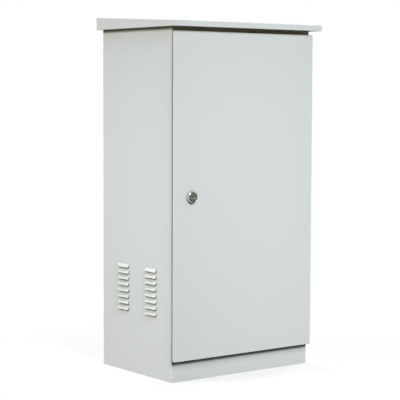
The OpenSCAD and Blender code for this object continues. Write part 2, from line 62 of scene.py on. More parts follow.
PAINTED = ["left_side_panel", "right_side_panel", "back_panel", "top_plate", "floor_plate", "front_sill",
           "roof", "left_roof_rail", "right_roof_rail", "door_panel"]
SOFT_EDGED = ["door_panel", "roof"]
GALVANISED = ["mounting_plate", "gland_plate", "left_door_rail", "right_door_rail"]
PLATED = ["upper_frame_leaf", "middle_frame_leaf", "lower_frame_leaf", "upper_hinge_pin", "middle_hinge_pin",
          "lower_hinge_pin", "upper_door_leaf", "middle_door_leaf", "lower_door_leaf", "lock_cam"]


class CabinetPaint(bpy.types.PropertyGroup):
    """The powder coat on the folded sheets."""
    colour: FloatVectorProperty(name="Colour", description="Light grey of the coat", subtype="COLOR", size=3,
                                default=(0.600, 0.632, 0.619), min=0, max=1)
    roughness: FloatProperty(name="Roughness", description="Satin gloss of the coat", subtype="FACTOR",
                             default=0.60, min=0, max=1)
    gloss: FloatProperty(name="Gloss", description="Strength of the coat's reflection", subtype="FACTOR",
                         default=0.3, min=0, max=1)
    mottle: FloatProperty(name="Mottle", description="Slow change of shade over the sheet", subtype="FACTOR",
                          default=0.03, min=0, max=1)
    # Painted shade: the coat is darkened in gaps and under edges within this reach
    painted_shade: FloatProperty(name="Painted shade", description="Reach of the grime in gaps and under edges",
                         unit="LENGTH", default=32 * MM, min=0)
    # Tones of the painted shade low down and at the top: the share of the coat's colour left in the deepest
    # gaps
    painted_shade_low: FloatVectorProperty(name="Low grime", subtype="COLOR", size=3, default=(0.34, 0.325, 0.27),
                                   min=0, max=1,
                                   description="Share of the coat's colour left in gaps by the ground")
    painted_shade_high: FloatVectorProperty(name="High grime", subtype="COLOR", size=3, default=(0.98, 0.88, 0.62),
                                    min=0, max=1,
                                    description="Share of the coat's colour left in gaps at the top")
    edge: FloatProperty(name="Edge", description="Radius that the coat gives to the sheets' edges",
                        unit="LENGTH", default=0.8 * MM, min=0)
    peel_size: FloatProperty(name="Peel size", description="Width of the ripples of the coat", unit="LENGTH",
                             default=1.6 * MM, min=0.1 * MM)
    peel_depth: FloatProperty(name="Peel depth", description="Depth of the ripples of the coat",
                              unit="LENGTH", default=0.012 * MM, min=0)


class CabinetMetal(bpy.types.PropertyGroup):
    """The plated, galvanised and polished metal."""
    zinc: FloatVectorProperty(name="Zinc", description="Bright zinc plate", subtype="COLOR", size=3,
                              default=(0.62, 0.63, 0.64), min=0, max=1)
    galvanised: FloatVectorProperty(name="Galvanised", description="Galvanised sheet", subtype="COLOR",
                                    size=3, default=(0.52, 0.54, 0.56), min=0, max=1)
    spangle: FloatProperty(name="Spangle", description="Width of the crystals on galvanised sheet",
                           unit="LENGTH", default=11 * MM, min=1 * MM)
    chrome: FloatVectorProperty(name="Chrome", description="Polished chrome of the lock's head",
                                subtype="COLOR", size=3, default=(0.86, 0.87, 0.88), min=0, max=1)
    # The plug's dark colour is its burnished metal and painted dark reflection
    plug: FloatVectorProperty(name="Plug", description="Burnished face of the lock's plug", subtype="COLOR",
                              size=3, default=(0.150, 0.152, 0.128), min=0, max=1)
    # Near-black colour of the well round the plug: painted shade and dark reflection
    groove: FloatVectorProperty(name="Groove", description="Blacked groove round the lock's plug",
                                subtype="COLOR", size=3, default=(0.018, 0.020, 0.020), min=0, max=1)


class CabinetSeal(bpy.types.PropertyGroup):
    """The foam bead round the door and the gasket under the gland plate."""
    colour: FloatVectorProperty(name="Colour", description="Dark foam", subtype="COLOR", size=3,
                                default=(0.035, 0.036, 0.040), min=0, max=1)
    corner: FloatProperty(name="Corner", description="Radius of the bead's middle at the door's corners",
                          unit="LENGTH", default=11 * MM, min=6 * MM)
    groove: FloatProperty(name="Groove", description="Depth of the mark that the lip leaves in the bead",
                          unit="LENGTH", default=0.9 * MM, min=0)
    pore: FloatProperty(name="Pore", description="Width of the foam's pores", unit="LENGTH", default=0.9 * MM,
                        min=0.1 * MM)


class CabinetFasteners(bpy.types.PropertyGroup):
    """Threads and heads of the fasteners."""
    pitch: FloatProperty(name="Pitch", description="Thread pitch as a share of the stud's radius",
                         subtype="FACTOR", default=0.32, min=0.1, max=1)
    depth: FloatProperty(name="Depth", description="Thread depth as a share of the pitch", subtype="FACTOR",
                         default=0.55, min=0, max=1)
    around: IntProperty(name="Steps", description="Faces round a thread", default=24, min=8, max=96)
    bolt_head: FloatProperty(name="Bolt head", description="Height of a roof bolt's head", unit="LENGTH",
                             default=5.3 * MM, min=1 * MM)
    screw_head: FloatProperty(name="Screw head", description="Height of a hinge screw's head", unit="LENGTH",
                              default=1.8 * MM, min=0.5 * MM)
    cam_head: FloatProperty(name="Cam screw head", description="Height of the cam screw's head",
                            unit="LENGTH", default=2.5 * MM, min=0.5 * MM)


class CabinetStage(bpy.types.PropertyGroup):
    """The studio: floor, lamps and camera."""
    floor: FloatVectorProperty(name="Floor", description="Floor from which light comes back to the cabinet",
                               subtype="COLOR", size=3, default=(0.12, 0.11, 0.10), min=0, max=1)
    pale: FloatVectorProperty(name="Pale floor", description="Pale floor on which the camera sees the shadow",
                              subtype="COLOR", size=3, default=(0.60, 0.60, 0.60), min=0, max=1)
    white: FloatProperty(name="White floor", description="Share of plain white in the floor by the cabinet",
                         subtype="FACTOR", default=0.7, min=0, max=1)
    sky: FloatProperty(name="Sky", description="Soft light from all round", default=0.06, min=0)
    tint: FloatVectorProperty(name="Sky's colour", description="Warm tone of the soft light", subtype="COLOR",
                              size=3, default=(1.0, 0.86, 0.68), min=0, max=1)
    left: FloatProperty(name="Left lamp", description="Soft lamp that faces the left side", unit="POWER",
                        default=19.3, min=0)
    left_place: FloatVectorProperty(name="Left lamp's place", description="Where the left lamp hangs",
                                    subtype="TRANSLATION", size=3, unit="LENGTH", default=(-2.4, 0.6, 1.82))
    front: FloatProperty(name="Front lamp", description="Soft lamp that faces the door", unit="POWER",
                         default=28.0, min=0)
    front_place: FloatVectorProperty(name="Front lamp's place", description="Where the front lamp hangs",
                                     subtype="TRANSLATION", size=3, unit="LENGTH",
                                     default=(-0.55, -2.47, 2.08))
    fill: FloatProperty(name="Fill lamps", description="Soft lamps that face the right side and the back",
                        unit="POWER", default=14, min=0)
    right_place: FloatVectorProperty(name="Right lamp's place", description="Where the right fill lamp hangs",
                                     subtype="TRANSLATION", size=3, unit="LENGTH", default=(2.6, 0.7, 1.9))
    back_place: FloatVectorProperty(name="Back lamp's place", description="Where the back fill lamp hangs",
                                    subtype="TRANSLATION", size=3, unit="LENGTH", default=(0.5, 2.7, 1.9))
    lamp_size: FloatProperty(name="Lamp size", description="Side of the square lamps", unit="LENGTH",
                             default=0.85, min=0.1)
    beam: FloatProperty(name="Beam", description="Angle over which the grid of a lamp lets light out",
                        subtype="ANGLE", default=math.radians(84), min=0.1)
    left_aim: FloatVectorProperty(name="Left lamp's aim", description="Point that the left lamp faces",
                                  subtype="TRANSLATION", size=3, unit="LENGTH", default=(-0.25, -0.4, -0.32))
    front_aim: FloatVectorProperty(name="Front lamp's aim", description="Point that the front lamp faces",
                                   subtype="TRANSLATION", size=3, unit="LENGTH", default=(0.48, -0.18, -0.46))
    place: FloatVectorProperty(name="Camera", description="Where the camera stands", subtype="TRANSLATION",
                               size=3, unit="LENGTH", default=(-2.50604, -3.29475, 0.81626))
    yaw: FloatProperty(name="Yaw", description="Camera's heading, from the back towards the right",
                       subtype="ANGLE", default=math.radians(37.0301))
    pitch: FloatProperty(name="Pitch", description="Camera's tilt, up positive", subtype="ANGLE",
                         default=math.radians(-4.4577))
    roll: FloatProperty(name="Roll", description="Camera's roll", subtype="ANGLE",
                        default=math.radians(0.2078))
    lens: FloatProperty(name="Lens", description="Focal length on a 36 mm frame", default=125.065, min=1)


# Shader node groups and materials

def wire(tree, *links):
    """Joins pairs of sockets in a node tree."""
    for a, b in links:
        tree.links.new(a, b)


def node(tree, kind, **values):
    """A shader node with its properties, or with its input sockets by name, set to the values."""
    made = tree.nodes.new("ShaderNode" + kind)
    for name, value in values.items():
        if hasattr(made, name):
            setattr(made, name, value)
        else:
            made.inputs[name.replace("_", " ")].default_value = value
    return made


def new_group(name, inputs, outputs):
    """An empty shader node group with named sockets; returns its tree and its two end nodes."""
    tree = bpy.data.node_groups.new(name, "ShaderNodeTree")
    for label, kind, value in inputs:
        socket = tree.interface.new_socket(label, in_out="INPUT", socket_type="NodeSocket" + kind)
        socket.default_value = value
    for label, kind in outputs:
        tree.interface.new_socket(label, in_out="OUTPUT", socket_type="NodeSocket" + kind)
    return tree, tree.nodes.new("NodeGroupInput"), tree.nodes.new("NodeGroupOutput")


def noise(tree, scale, detail=2.0, roughness=0.5):
    """Noise over the part in metres; scale is a socket or a number of ripples to a metre."""
    place = node(tree, "TexCoord")
    made = node(tree, "TexNoise", Detail=detail, Roughness=roughness)
    wire(tree, (place.outputs["Object"], made.inputs["Vector"]))
    if isinstance(scale, (int, float)):
        made.inputs["Scale"].default_value = scale
    else:
        wire(tree, (scale, made.inputs["Scale"]))
    return made


def spread(tree, value, low, high):
    """Maps a value from 0..1 to low..high, which are numbers."""
    made = node(tree, "MapRange")
    made.inputs["To Min"].default_value = low
    made.inputs["To Max"].default_value = high
    wire(tree, (value, made.inputs["Value"]))
    return made.outputs["Result"]


def shade(tree, colour, value):
    """A colour times a value."""
    made = node(tree, "VectorMath", operation="SCALE")
    wire(tree, (colour, made.inputs[0]), (value, made.inputs["Scale"]))
    return made.outputs["Vector"]


def one_over(tree, socket):
    """1 / value, to turn a width into a number of ripples to a metre."""
    made = node(tree, "Math", operation="DIVIDE")
    made.inputs[0].default_value = 1.0
    wire(tree, (socket, made.inputs[1]))
    return made.outputs[0]


def mottle_group():
    """Slow and fine change of shade with a matching roughness, for every finish."""
    fine_ripples, fine_share = 420.0, 0.35
    smoothest, roughest = 0.9, 1.1
    tree, start, end = new_group(
        "Uneven finish",
        [("Colour", "Color", (0.6, 0.6, 0.6, 1)), ("Amount", "Float", 0.03), ("Width", "Float", 0.2),
         ("Roughness", "Float", 0.4)],
        [("Colour", "Color"), ("Roughness", "Float")])
    slow = noise(tree, one_over(tree, start.outputs["Width"]), 3.0)
    fine = noise(tree, fine_ripples)
    both = node(tree, "Math", operation="MULTIPLY_ADD")
    both.inputs[1].default_value = fine_share
    wire(tree, (fine.outputs["Fac"], both.inputs[0]), (slow.outputs["Fac"], both.inputs[2]))
    centred = node(tree, "Math", operation="SUBTRACT")
    centred.inputs[1].default_value = (1 + fine_share) / 2
    scaled = node(tree, "Math", operation="MULTIPLY_ADD")
    scaled.inputs[2].default_value = 1.0
    rough = node(tree, "Math", operation="MULTIPLY")
    wire(tree, (both.outputs[0], centred.inputs[0]), (centred.outputs[0], scaled.inputs[0]),
         (start.outputs["Amount"], scaled.inputs[1]),
         (shade(tree, start.outputs["Colour"], scaled.outputs[0]), end.inputs["Colour"]),
         (start.outputs["Roughness"], rough.inputs[0]),
         (spread(tree, slow.outputs["Fac"], smoothest, roughest), rough.inputs[1]),
         (rough.outputs[0], end.inputs["Roughness"]))
    return tree


def ripple_group():
    """Height of a rippled skin, such as a powder coat or a cast surface."""
    tree, start, end = new_group("Rippled skin", [("Width", "Float", 0.0016)], [("Height", "Float")])
    coarse = noise(tree, one_over(tree, start.outputs["Width"]), 1.0, 0.4)
    wire(tree, (coarse.outputs["Fac"], end.inputs["Height"]))
    return tree


def crystal_group():
    """Spangle of galvanised sheet: flat crystals with bent borders, each with a shade of its own."""
    bends, bend = 60.0, 6 * MM
    tree, start, end = new_group("Zinc crystals", [("Width", "Float", 0.011)], [("Shade", "Float")])
    place = node(tree, "TexCoord")
    bent = noise(tree, bends)
    mixed = node(tree, "VectorMath", operation="MULTIPLY_ADD")
    mixed.inputs[1].default_value = (bend, bend, bend)
    cells = node(tree, "TexVoronoi", feature="F1")
    grey = node(tree, "RGBToBW")
    wire(tree, (bent.outputs["Color"], mixed.inputs[0]), (place.outputs["Object"], mixed.inputs[2]),
         (mixed.outputs[0], cells.inputs["Vector"]),
         (one_over(tree, start.outputs["Width"]), cells.inputs["Scale"]),
         (cells.outputs["Color"], grey.inputs["Color"]), (grey.outputs["Val"], end.inputs["Shade"]))
    return tree


def pore_group():
    """Pores of foam."""
    tree, start, end = new_group("Foam pores", [("Width", "Float", 0.0009)], [("Height", "Float")])
    place = node(tree, "TexCoord")
    cells = node(tree, "TexVoronoi", feature="SMOOTH_F1")
    wire(tree, (place.outputs["Object"], cells.inputs["Vector"]),
         (one_over(tree, start.outputs["Width"]), cells.inputs["Scale"]),
         (cells.outputs["Distance"], end.inputs["Height"]))
    return tree


def grain_group():
    """Slanting bright and dark lines of a burnished face that stands in the XZ plane."""
    slope, stretch = math.radians(40), 0.2
    tree, start, end = new_group("Burnished lines", [("Width", "Float", 0.004)], [("Shade", "Float")])
    place = node(tree, "TexCoord")
    slant = node(tree, "Mapping")
    slant.inputs["Rotation"].default_value = (0, slope, 0)
    slant.inputs["Scale"].default_value = (stretch, 1.0, 1.0)
    lines = node(tree, "TexNoise", Detail=1.0, Roughness=0.4)
    wire(tree, (place.outputs["Object"], slant.inputs["Vector"]), (slant.outputs[0], lines.inputs["Vector"]),
         (one_over(tree, start.outputs["Width"]), lines.inputs["Scale"]),
         (lines.outputs["Fac"], end.inputs["Shade"]))
    return tree


# Sockets of a Mix node that mixes colours
FACTOR, FIRST, SECOND, MIXED = 0, 6, 7, 2


def painted_crevice_shade_group():
    """Painted shade in gaps and under edges, stronger at the foot of the cabinet: white on an open face and
    the tone of the height in a gap. Its first share is the share of open sky at which the shade is full at
    the foot,
    Full the share at which it is full above the foot, and Onset the share at which it begins."""
    # Painted shade under the door: up to the first height the shade is full at the foot's share of open sky,
    # from the second at Full's
    foot_shade_top, upper_shade_from = 60 * MM, 120 * MM
    # The painted shade's tone stays low over most of the height, because it turns with this power of the
    # height in metres
    power = 6.0
    tree, start, end = new_group(
        "Crevice grime", [("Reach", "Float", 0.032), ("Foot shade", "Float", 0.85), ("Full", "Float", 0.56),
                          ("Onset", "Float", 0.955), ("Low", "Color", (0.4, 0.4, 0.4, 1)),
                          ("High", "Color", (0.9, 0.9, 0.9, 1))],
        [("Colour", "Color")])
    near = node(tree, "AmbientOcclusion", samples=8)
    place = node(tree, "TexCoord")
    axes = node(tree, "SeparateXYZ")
    closed = node(tree, "MapRange")
    closed.inputs["From Min"].default_value = foot_shade_top
    closed.inputs["From Max"].default_value = upper_shade_from
    open_face = node(tree, "MapRange")
    tone_by_height = node(tree, "Math", operation="POWER")
    tone_by_height.inputs[1].default_value = power
    tone = node(tree, "Mix", data_type="RGBA")
    shown = node(tree, "Mix", data_type="RGBA")
    shown.inputs[SECOND].default_value = (1, 1, 1, 1)
    wire(tree, (place.outputs["Object"], axes.inputs[0]), (axes.outputs["Z"], closed.inputs["Value"]),
         (start.outputs["Foot shade"], closed.inputs["To Min"]), (start.outputs["Full"], closed.inputs["To Max"]),
         (start.outputs["Reach"], near.inputs["Distance"]), (near.outputs["AO"], open_face.inputs["Value"]),
         (closed.outputs["Result"], open_face.inputs["From Min"]),
         (start.outputs["Onset"], open_face.inputs["From Max"]),
         (open_face.outputs["Result"], shown.inputs[FACTOR]),
         (axes.outputs["Z"], tone_by_height.inputs[0]), (tone_by_height.outputs[0], tone.inputs[FACTOR]),
         (start.outputs["Low"], tone.inputs[FIRST]), (start.outputs["High"], tone.inputs[SECOND]),
         (tone.outputs[MIXED], shown.inputs[FIRST]), (shown.outputs[MIXED], end.inputs["Colour"]))
    return tree


EFFECTS = {"uneven": mottle_group, "ripple": ripple_group, "crystal": crystal_group, "pore": pore_group,
           "grain": grain_group, "painted_crevice_shade": painted_crevice_shade_group}
CRYSTAL_SHADES = (0.82, 1.12)
BURNISHED_SHADES = (0.2, 2.2)


def effect(tree, key, **values):
    """Places a shared effect in a material, making its group the first time."""
    made = tree.nodes.new("ShaderNodeGroup")
    made.node_tree = bpy.data.node_groups.get("cabinet_" + key)
    if made.node_tree is None:
        made.node_tree = EFFECTS[key]()
        made.node_tree.name = "cabinet_" + key
    for name, value in values.items():
        made.inputs[name].default_value = value
    return made


def finish(name, colour, roughness, uneven=0.03, width=0.2, metallic=0.0, skin=None, skin_width=0.001,
           depth=0.0, crystals=0.0, grain=0.0, gloss=0.5, painted_shade=None):
    """A material with an uneven colour and roughness and, if asked, a skin that bumps, crystals of a width,
    a grain of a width or painted shade in gaps and under edges by the inputs of its group."""
    made = bpy.data.materials.new(name)
    made.use_nodes = True
    tree = made.node_tree
    bsdf = tree.nodes["Principled BSDF"]
    bsdf.inputs["Metallic"].default_value = metallic
    bsdf.inputs["Specular IOR Level"].default_value = gloss
    body = effect(tree, "uneven", Colour=(*colour, 1), Amount=uneven, Width=width, Roughness=roughness)
    colour_out = body.outputs["Colour"]
    if crystals:
        spangle = effect(tree, "crystal", Width=crystals)
        colour_out = shade(tree, colour_out, spread(tree, spangle.outputs["Shade"], *CRYSTAL_SHADES))
    if grain:
        lines = effect(tree, "grain", Width=grain)
        colour_out = shade(tree, colour_out, spread(tree, lines.outputs["Shade"], *BURNISHED_SHADES))
    # Painted shade: the colour is darkened in gaps and under edges
    if painted_shade:
        gaps = effect(tree, "painted_crevice_shade", **painted_shade)
        darkened = node(tree, "VectorMath", operation="MULTIPLY")
        wire(tree, (colour_out, darkened.inputs[0]), (gaps.outputs["Colour"], darkened.inputs[1]))
        colour_out = darkened.outputs[0]
    wire(tree, (colour_out, bsdf.inputs["Base Color"]), (body.outputs["Roughness"], bsdf.inputs["Roughness"]))
    if skin:
        height = effect(tree, skin, Width=skin_width).outputs["Height"]
        bump = node(tree, "Bump", Strength=1.0, Distance=depth)
        wire(tree, (height, bump.inputs["Height"]), (bump.outputs["Normal"], bsdf.inputs["Normal"]))
    made.diffuse_color = (*colour, 1)
    return made


def zinc_plate():
    """Bright zinc for fasteners and hinges."""
    found = bpy.data.materials.get("zinc_plate")
    metal = bpy.context.scene.cabinet_metal
    return found or finish("zinc_plate", metal.zinc, 0.30, uneven=0.10, width=0.012, metallic=1.0,
                           skin="ripple", skin_width=0.0007, depth=0.004 * MM)


def dress(name, material):
    """Gives a CAD node a finish in place of the one that it came with."""
    slots = nodes[name].data.materials
    slots.clear()
    slots.append(material)


# Mesh helpers

def islands(name):
    """Lowest and highest corner of each separate solid of a CAD node."""
    bm = bmesh.new()
    bm.from_mesh(nodes[name].data)
    bmesh.ops.remove_doubles(bm, verts=bm.verts, dist=SAME_POINT)
    left, found = set(bm.verts), []
    while left:
        stack, group = [left.pop()], []
        while stack:
            v = stack.pop()
            group.append(v.co)
            for e in v.link_edges:
                w = e.other_vert(v)
                if w in left:
                    left.remove(w)
                    stack.append(w)
        found.append((Vector(map(min, *group)), Vector(map(max, *group))))
    bm.free()
    return sorted(found, key=lambda box: tuple(round(c, 5) for c in box[0]))


def local_frame(origin, axis, corner=None):
    """Matrix whose Z runs along axis from origin, with X along corner or any square direction."""
    w = axis.normalized()
    u = (corner or (X if abs(w.x) < 0.9 else Z)).normalized()
    v = w.cross(u)
    return Matrix.Translation(origin) @ Matrix((u, v, w)).transposed().to_4x4()


def skin_rings(bm, rings, closed=False, cap=True):
    """Faces between rings of the same count; closed joins the last ring to the first."""
    made = [[bm.verts.new(p) for p in ring] for ring in rings]
    pairs = list(zip(made, made[1:]))
    if closed:
        pairs.append((made[-1], made[0]))
    for a, b in pairs:
        for i in range(len(a)):
            j = (i + 1) % len(a)
            bm.faces.new((a[i], a[j], b[j], b[i]))
    if cap and not closed:
        bm.faces.new(made[0][::-1])
        bm.faces.new(made[-1])


def new_piece(name, bm, material, body, stands_for, sharp=35.0):
    """Turns a bmesh into a piece that rides on a body and stands for CAD nodes."""
    bmesh.ops.recalc_face_normals(bm, faces=bm.faces)
    for f in bm.faces:
        f.smooth = True
    for e in bm.edges:
        if len(e.link_faces) == 2 and e.calc_face_angle(0.0) > math.radians(sharp):
            e.smooth = False
    mesh = bpy.data.meshes.new(name)
    bm.to_mesh(mesh)
    bm.free()
    mesh.materials.append(material)
    piece = bpy.data.objects.new(name, mesh)
    bpy.context.scene.collection.objects.link(piece)
    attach(piece, body)
    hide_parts(*stands_for)
    return piece


def polar(radius, angle, height):
    """A point at a radius, an angle and a height about the Z axis."""
    return Vector((radius * math.cos(angle), radius * math.sin(angle), height))


def eased(profile, radius):
    """A closed profile with every corner rounded off by about the radius, or less beside a short side."""
    most = 0.45
    out = []
    for i, p in enumerate(profile):
        p = Vector(p)
        a, b = Vector(profile[i - 1]) - p, Vector(profile[(i + 1) % len(profile)]) - p
        cut = min(radius, most * a.length, most * b.length)
        first, last = p + a.normalized() * cut, p + b.normalized() * cut
        for t in (0.0, 0.33, 0.67, 1.0):
            out.append(first.lerp(p, t).lerp(p.lerp(last, t), t))
    return out


def turn(bm, profile, place, steps):
    """Revolves a closed profile of (radius, height) points about the Z axis of a frame."""
    rings = []
    for k in range(steps):
        a = 2 * math.pi * k / steps
        rings.append([place @ polar(p[0], a, p[1]) for p in profile])
    skin_rings(bm, rings, closed=True)


def helix_rings(radius, pitch, depth, low, high, steps):
    """Rings of a thread along the Z axis: straight flanks between a narrow crest and a narrow root."""
    rows_to_pitch, steepness, crest = 6, 1.25, 0.12
    rows = max(4, int((high - low) / pitch * rows_to_pitch))
    rings = []
    for i in range(rows + 1):
        z = low + (high - low) * i / rows
        ring = []
        for k in range(steps):
            wave = abs(2 * ((z / pitch - k / steps) % 1.0) - 1)
            r = radius - depth * min(1.0, max(0.0, steepness * wave - crest))
            ring.append((r, 2 * math.pi * k / steps, z))
        rings.append(ring)
    return rings


def thread(bm, radius, low, high, place, settings):
    """A threaded rod along the Z axis of a frame, with a real helix, a chamfered end and a steeper start."""
    pitch = settings.pitch * radius
    depth = settings.depth * pitch
    root = radius - depth
    rings = []
    for ring in helix_rings(radius, pitch, depth, low, high, settings.around):
        rings.append([place @ polar(min(r, root + (high - z), root + 2 * (z - low)), a, z)
                      for r, a, z in ring])
    skin_rings(bm, rings)


def hex_radius(angle, corner_r):
    """Distance from the axis to a hexagon's side, with a corner at angle 0."""
    return corner_r * math.cos(math.pi / 6) / math.cos((angle + math.pi / 6) % (math.pi / 3) - math.pi / 6)


def hexagon(bm, corner_r, low, high, bore_r, place, steps=48):
    """A hexagon nut or head with its corners chamfered and, for a nut, a countersunk bore."""
    flat_r = corner_r * math.cos(math.pi / 6) * 0.97
    chamfer = math.tan(math.radians(30))
    sink_r, sink = 1.12 * bore_r, 0.1 * bore_r
    core_r = 0.35 * flat_r
    lines = []
    for k in range(steps):
        a = 2 * math.pi * k / steps
        r = hex_radius(a, corner_r)
        drop = max(0.0, (r - flat_r) * chamfer)
        outside = [(flat_r, low), (r, low + drop), (r, high - drop), (flat_r, high)]
        if bore_r:
            line = [(bore_r, low + sink), (sink_r, low), *outside, (sink_r, high), (bore_r, high - sink)]
        else:
            line = [(core_r, low), *outside, (core_r, high)]
        lines.append([place @ polar(p[0], a, p[1]) for p in line])
    skin_rings(bm, list(zip(*lines)), closed=bool(bore_r), cap=not bore_r)


# Operators

class CABINET_OT_paint(bpy.types.Operator):
    """Powder-coat the folded sheets, with painted shade in their gaps and under their edges"""
    bl_idname = "cabinet.paint"
    bl_label = "Powder coat"

    def execute(self, context):
        look = context.scene.cabinet_paint
        # Painted shade darkens the coat in gaps and under edges
        painted_shade = {"Reach": look.painted_shade, "Low": (*look.painted_shade_low, 1), "High": (*look.painted_shade_high, 1)}
        coat = finish("powder_coat", look.colour, look.roughness, uneven=look.mottle, width=0.35,
                      skin="ripple", skin_width=look.peel_size, depth=look.peel_depth, gloss=look.gloss,
                      painted_shade=painted_shade)
        for name in PAINTED:
            dress(name, coat)
        sharp_from = math.radians(50)
        for name in SOFT_EDGED:
            rounding = nodes[name].modifiers.new("coated_edges", "BEVEL")
            rounding.width, rounding.segments = look.edge, 2
            rounding.limit_method, rounding.angle_limit = "ANGLE", sharp_from
            rounding.harden_normals = True
        return {"FINISHED"}


class CABINET_OT_metal(bpy.types.Operator):
    """Finish the galvanised sheets and the plated hinges and cam"""
    bl_idname = "cabinet.metal"
    bl_label = "Bare and plated metal"

    def execute(self, context):
        metal = context.scene.cabinet_metal
        sheet = finish("galvanised_sheet", metal.galvanised, 0.42, uneven=0.08, width=0.06, metallic=1.0,
                       skin="ripple", skin_width=0.004, depth=0.01 * MM, crystals=metal.spangle)
        for name in GALVANISED:
            dress(name, sheet)
        for name in PLATED:
            dress(name, zinc_plate())
        return {"FINISHED"}


class CABINET_OT_lock(bpy.types.Operator):
    """Turn the lock's chromed head and threaded barrel, and burnish its plug, with painted dark reflection
    and shade
    """
    bl_idname = "cabinet.lock"
    bl_label = "Lock"

    def execute(self, context):
        metal = context.scene.cabinet_metal
        chrome = finish("bright_chrome", metal.chrome, 0.10, uneven=0.05, width=0.01, metallic=1.0,
                        skin="ripple", skin_width=0.002, depth=0.002 * MM)
        # The plug's dark colour is its burnished metal and painted dark reflection
        burnished = finish("burnished_plug_and_painted_reflection", metal.plug, 0.30, uneven=0.2, width=0.004, metallic=1.0,
                           skin="ripple", skin_width=0.0006, depth=0.01 * MM, grain=0.006)
        # The well round the plug is near black: painted shade and dark reflection
        painted_dark_well = finish("painted_dark_well_groove", metal.groove, 0.45, uneven=0.2, width=0.004, skin="ripple",
                         skin_width=0.0006, depth=0.01 * MM)
        dress("lock_plug", burnished)
        low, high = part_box("lock_housing")
        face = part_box("door_panel")[0].y
        middle = (low + high) / 2
        place = local_frame(Vector((middle.x, face, middle.z)), -Y)
        collar = (high.x - low.x) / 2
        out, back = face - low.y, face - high.y
        barrel, bore = 0.645 * collar, 7.55 * MM
        bm = bmesh.new()
        self.head(bm, collar, 0.9 * barrel, bore, back, out, place)
        self.barrel(bm, barrel, bore, back, place)
        made = new_piece("lock_head", bm, chrome, "door", ["lock_housing"])
        made.data.materials.append(painted_dark_well)
        return {"FINISHED"}

    def head(self, bm, collar, core, bore, back, out, place):
        """The collar with its rim and the well inside it, near black as painted shade, on a core within the
        barrel.
        """
        rim_out, rim_in, well = 0.97 * collar, 0.935 * collar, 1.65 * MM
        slope, inset, ease, slack = 0.9 * MM, 3 * MM, 0.45 * MM, 0.1 * MM
        profile = [(bore, back + inset), (core, back + inset), (core, 0.0), (collar, 0.0),
                   (collar, out - slope), (rim_out, out), (rim_in, out), (rim_in, out - well),
                   (bore, out - well)]
        turn(bm, eased(profile, ease), place, 96)
        # Faces of the well take the near-black finish, painted shade
        for f in bm.faces:
            spot = place.inverted() @ f.calc_center_median()
            if 0 < spot.z < out - 2 * slack and math.hypot(spot.x, spot.y) < rim_in + slack:
                f.material_index = 1

    def barrel(self, bm, radius, bore, back, place):
        """The threaded tube behind the collar."""
        front, pitch, depth, steps = -0.2 * MM, 1.0 * MM, 0.5 * MM, 48
        rings = helix_rings(radius, pitch, depth, back, front, steps)
        for z in (front, back):
            rings.append([(bore, 2 * math.pi * k / steps, z) for k in range(steps)])
        skin_rings(bm, [[place @ polar(*spot) for spot in ring] for ring in rings], closed=True)


class CABINET_OT_seal(bpy.types.Operator):
    """Lay the foam bead round the inside of the door and finish the gasket in the floor"""
    bl_idname = "cabinet.seal"
    bl_label = "Foam seal"

    def execute(self, context):
        look = context.scene.cabinet_seal
        foam = finish("foam_rubber", look.colour, 0.85, uneven=0.25, width=0.02, skin="pore",
                      skin_width=look.pore, depth=0.25 * MM)
        self.gasket(foam)
        low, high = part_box("door_seal")
        thick = high.y - low.y
        half = 5.0 * MM
        flank = [(half, 0), (0.98 * half, 0.30 * thick), (0.86 * half, 0.62 * thick),
                 (0.62 * half, 0.87 * thick), (0.36 * half, thick), (0.16 * half, thick - 0.55 * look.groove)]
        bead = [(-u, v) for u, v in flank] + [(0, thick - look.groove)] + flank[::-1]
        rings = []
        r, steps = look.corner, 8
        corners = [(low.x + half, low.z + half, 180), (high.x - half, low.z + half, 270),
                   (high.x - half, high.z - half, 0), (low.x + half, high.z - half, 90)]
        for cx, cz, start in corners:
            mx = cx + (r if cx < 0 else -r)
            mz = cz + (r if cz < (low.z + high.z) / 2 else -r)
            for step in range(steps + 1):
                a = math.radians(start + 90 * step / steps)
                out = Vector((math.cos(a), 0, math.sin(a)))
                mid = Vector((mx, low.y, mz)) + out * r
                rings.append([mid + out * u + Y * v for u, v in bead])
        bm = bmesh.new()
        skin_rings(bm, rings, closed=True)
        made = new_piece("door_seal_foam", bm, foam, "door", ["door_seal"], sharp=50)
        return {"FINISHED"}

    def gasket(self, foam):
        """The gasket under the gland plate, pressed so that its edges bulge between the two sheets."""
        band, slack, bulge = 20 * MM, 1 * MM, 0.6 * MM
        low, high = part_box("gland_seal")
        middle = (low + high) / 2
        bm = bmesh.new()
        bm.from_mesh(nodes["gland_seal"].data)
        bmesh.ops.remove_doubles(bm, verts=bm.verts, dist=SAME_POINT)
        bmesh.ops.bisect_plane(bm, geom=bm.verts[:] + bm.edges[:] + bm.faces[:], plane_co=middle, plane_no=Z)
        inside = [min(band, high.x - abs(v.co.x), high.y - abs(v.co.y)) for v in bm.verts]
        for v, depth in zip(bm.verts[:], inside):
            if abs(v.co.z - middle.z) < 10 * SAME_POINT and not slack < depth < band - slack:
                v.co += Vector((v.normal.x, v.normal.y, 0)) * bulge
        made = new_piece("gland_seal_foam", bm, foam, "cabinet", ["gland_seal"], sharp=50)


